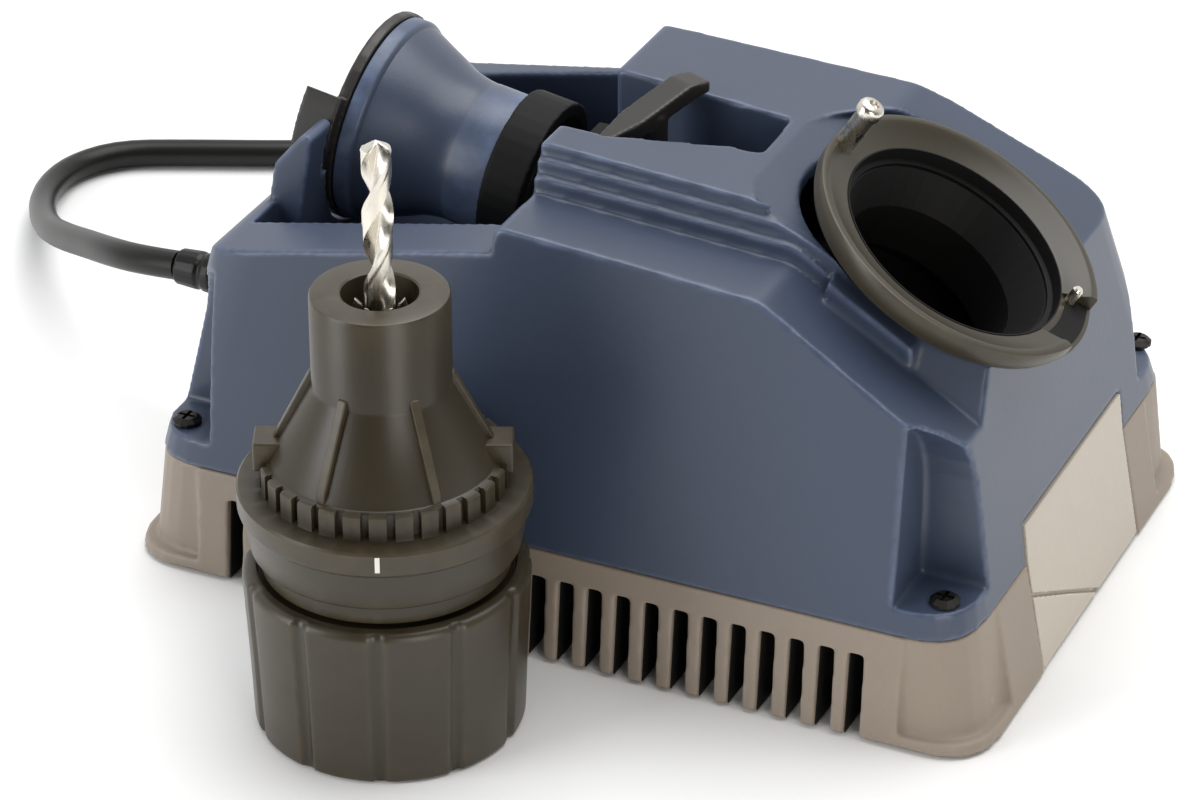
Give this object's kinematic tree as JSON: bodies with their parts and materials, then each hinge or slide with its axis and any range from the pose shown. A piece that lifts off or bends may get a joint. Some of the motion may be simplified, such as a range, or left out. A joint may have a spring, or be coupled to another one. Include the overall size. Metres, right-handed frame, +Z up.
{
  "type": "drill bit sharpener",
  "caption": "Bench drill bit sharpener: grinding port over a diamond wheel, alignment horn, angle lever, and a hand chuck holding a twist drill.",
  "frame": {"origin": "on the bench, under the middle of everything but the cord and its fittings", "axes": "+Z up, -Y towards the operator and the chuck, +X towards the grinding port"},
  "size_m": [0.3142, 0.3083, 0.136],
  "materials": {
    "housing": "fine grained slate blue",
    "base": "fine grained warm grey",
    "door": "smooth pale grey",
    "black_plastic": "satin black",
    "chuck_plastic": "satin brown black",
    "rubber": "matt black",
    "steel": "ground bright",
    "dark_steel": "plated",
    "copper": "lacquered winding",
    "grit": "bonded grit",
    "board": "circuit board green",
    "carbon": "pressed carbon and ferrite",
    "white": "matt white"
  },
  "bodies": {
    "machine": {"base_shell": "base", "bottom_plate": "base", "top_housing": "housing", "pivot_post_front": "black_plastic", "pivot_post_rear": "black_plastic", "alignment_horn": "housing", "alignment_tube": "black_plastic", "alignment_plate": "black_plastic", "motor_case": "dark_steel", "bearing_left": "steel", "bearing_right": "steel", "magnet_upper": "carbon", "magnet_lower": "carbon", "brush_front": "carbon", "brush_rear": "carbon", "motor_cradle": "black_plastic", "grit_tray": "black_plastic", "rectifier_board": "board", "switch_body": "black_plastic", "strain_relief": "rubber", "power_cord": "rubber", "cord_coil": "rubber", "coil_tie": "black_plastic", "plug": "rubber", "rubber_foot_1": "rubber", "housing_screw_1": "dark_steel", "rubber_foot_2": "rubber", "housing_screw_2": "dark_steel", "rubber_foot_3": "rubber", "housing_screw_3": "dark_steel", "rubber_foot_4": "rubber", "housing_screw_4": "dark_steel"},
    "rotor": {"motor_shaft": "steel", "armature": "copper", "cooling_fan": "black_plastic", "diamond_wheel": "grit", "wheel_nut": "steel"},
    "port": {"port_ring": "black_plastic", "sharpening_tube": "black_plastic", "cam_pin": "steel", "index_pin": "steel"},
    "lock_lever": {"angle_lock_lever": "black_plastic"},
    "rocker": {"switch_rocker": "black_plastic"},
    "door": {"access_door": "door"},
    "ring": {"timing_ring": "black_plastic"},
    "finger_front": {"timing_finger_front": "black_plastic"},
    "finger_rear": {"timing_finger_rear": "black_plastic"},
    "chuck": {"chuck_body": "chuck_plastic", "index_mark": "white", "jaw_carrier": "black_plastic"},
    "knob": {"chuck_knob": "chuck_plastic", "chuck_screw": "steel"},
    "bit": {"drill_bit": "steel"},
    "jaw_1": {"chuck_jaw_1": "steel"},
    "jaw_2": {"chuck_jaw_2": "steel"},
    "jaw_3": {"chuck_jaw_3": "steel"},
    "jaw_4": {"chuck_jaw_4": "steel"},
    "jaw_5": {"chuck_jaw_5": "steel"},
    "jaw_6": {"chuck_jaw_6": "steel"}
  },
  "joints": [
    {"name": "rotor_spin", "type": "hinge", "parent": "machine", "child": "rotor", "pos_m": [-0.00006, 0.01324, 0.025], "axis": [1, 0, 0], "continuous": true},
    {"name": "port_swing", "type": "hinge", "parent": "machine", "child": "port", "pos_m": [0.04096, 0.01324, 0.03988], "axis": [0, -1, 0], "range_deg": [0, 8.5]},
    {"name": "lock_lever_turn", "type": "hinge", "parent": "machine", "child": "lock_lever", "pos_m": [0.00074, 0.01674, 0.1], "axis": [0, 0, -1], "range_deg": [0, 38]},
    {"name": "rocker_tip", "type": "hinge", "parent": "machine", "child": "rocker", "pos_m": [0.03994, 0.09744, 0.014], "axis": [0, 0, -1], "range_deg": [0, 18]},
    {"name": "door_pull", "type": "slide", "parent": "machine", "child": "door", "axis": [1, 0, 0], "range_m": [0, 0.06]},
    {"name": "timing_ring_turn", "type": "hinge", "parent": "machine", "child": "ring", "pos_m": [-0.07406, 0.02924, 0.086], "axis": [-0.9848, 0, 0.1736], "range_deg": [0, 25], "stiffness_Nm_per_rad": 0.02, "springref_deg": -11.46},
    {"name": "finger_front_turn", "type": "hinge", "parent": "machine", "child": "finger_front", "pos_m": [-0.02656, 0.01424, 0.074], "axis": [1, 0, 0], "range_deg": [0, 20]},
    {"name": "finger_rear_turn", "type": "hinge", "parent": "machine", "child": "finger_rear", "pos_m": [-0.02656, 0.04424, 0.074], "axis": [1, 0, 0], "range_deg": [0, 20]},
    {"name": "chuck_lift", "type": "slide", "parent": "machine", "child": "chuck", "axis": [0, 0, 1], "range_m": [0, 0.12]},
    {"name": "knob_turn", "type": "hinge", "parent": "chuck", "child": "knob", "pos_m": [-0.02046, -0.07046, 0.02], "axis": [0, 0, 1], "range_deg": [0, 300]},
    {"name": "bit_lift", "type": "slide", "parent": "chuck", "child": "bit", "axis": [0, 0, 1], "range_m": [0, 0.09]},
    {"name": "jaw_1_slide", "type": "slide", "parent": "chuck", "child": "jaw_1", "axis": [0.9135, 0.4067, 0], "range_m": [0, 0.0013]},
    {"name": "jaw_2_slide", "type": "slide", "parent": "chuck", "child": "jaw_2", "axis": [0.1045, 0.9945, 0], "range_m": [0, 0.0013]},
    {"name": "jaw_3_slide", "type": "slide", "parent": "chuck", "child": "jaw_3", "axis": [-0.809, 0.5878, 0], "range_m": [0, 0.0013]},
    {"name": "jaw_4_slide", "type": "slide", "parent": "chuck", "child": "jaw_4", "axis": [-0.9135, -0.4067, 0], "range_m": [0, 0.0013]},
    {"name": "jaw_5_slide", "type": "slide", "parent": "chuck", "child": "jaw_5", "axis": [-0.1045, -0.9945, 0], "range_m": [0, 0.0013]},
    {"name": "jaw_6_slide", "type": "slide", "parent": "chuck", "child": "jaw_6", "axis": [0.809, -0.5878, 0], "range_m": [0, 0.0013]}
  ],
  "couplings": [
    {"joint": "finger_front_turn", "follows": "timing_ring_turn", "ratio": 0.8},
    {"joint": "finger_rear_turn", "follows": "timing_ring_turn", "ratio": 0.8},
    {"joint": "jaw_1_slide", "follows": "knob_turn", "m_per_rad": 0.00024826},
    {"joint": "jaw_2_slide", "follows": "knob_turn", "m_per_rad": 0.00024826},
    {"joint": "jaw_3_slide", "follows": "knob_turn", "m_per_rad": 0.00024826},
    {"joint": "jaw_4_slide", "follows": "knob_turn", "m_per_rad": 0.00024826},
    {"joint": "jaw_5_slide", "follows": "knob_turn", "m_per_rad": 0.00024826},
    {"joint": "jaw_6_slide", "follows": "knob_turn", "m_per_rad": 0.00024826}
  ]
}
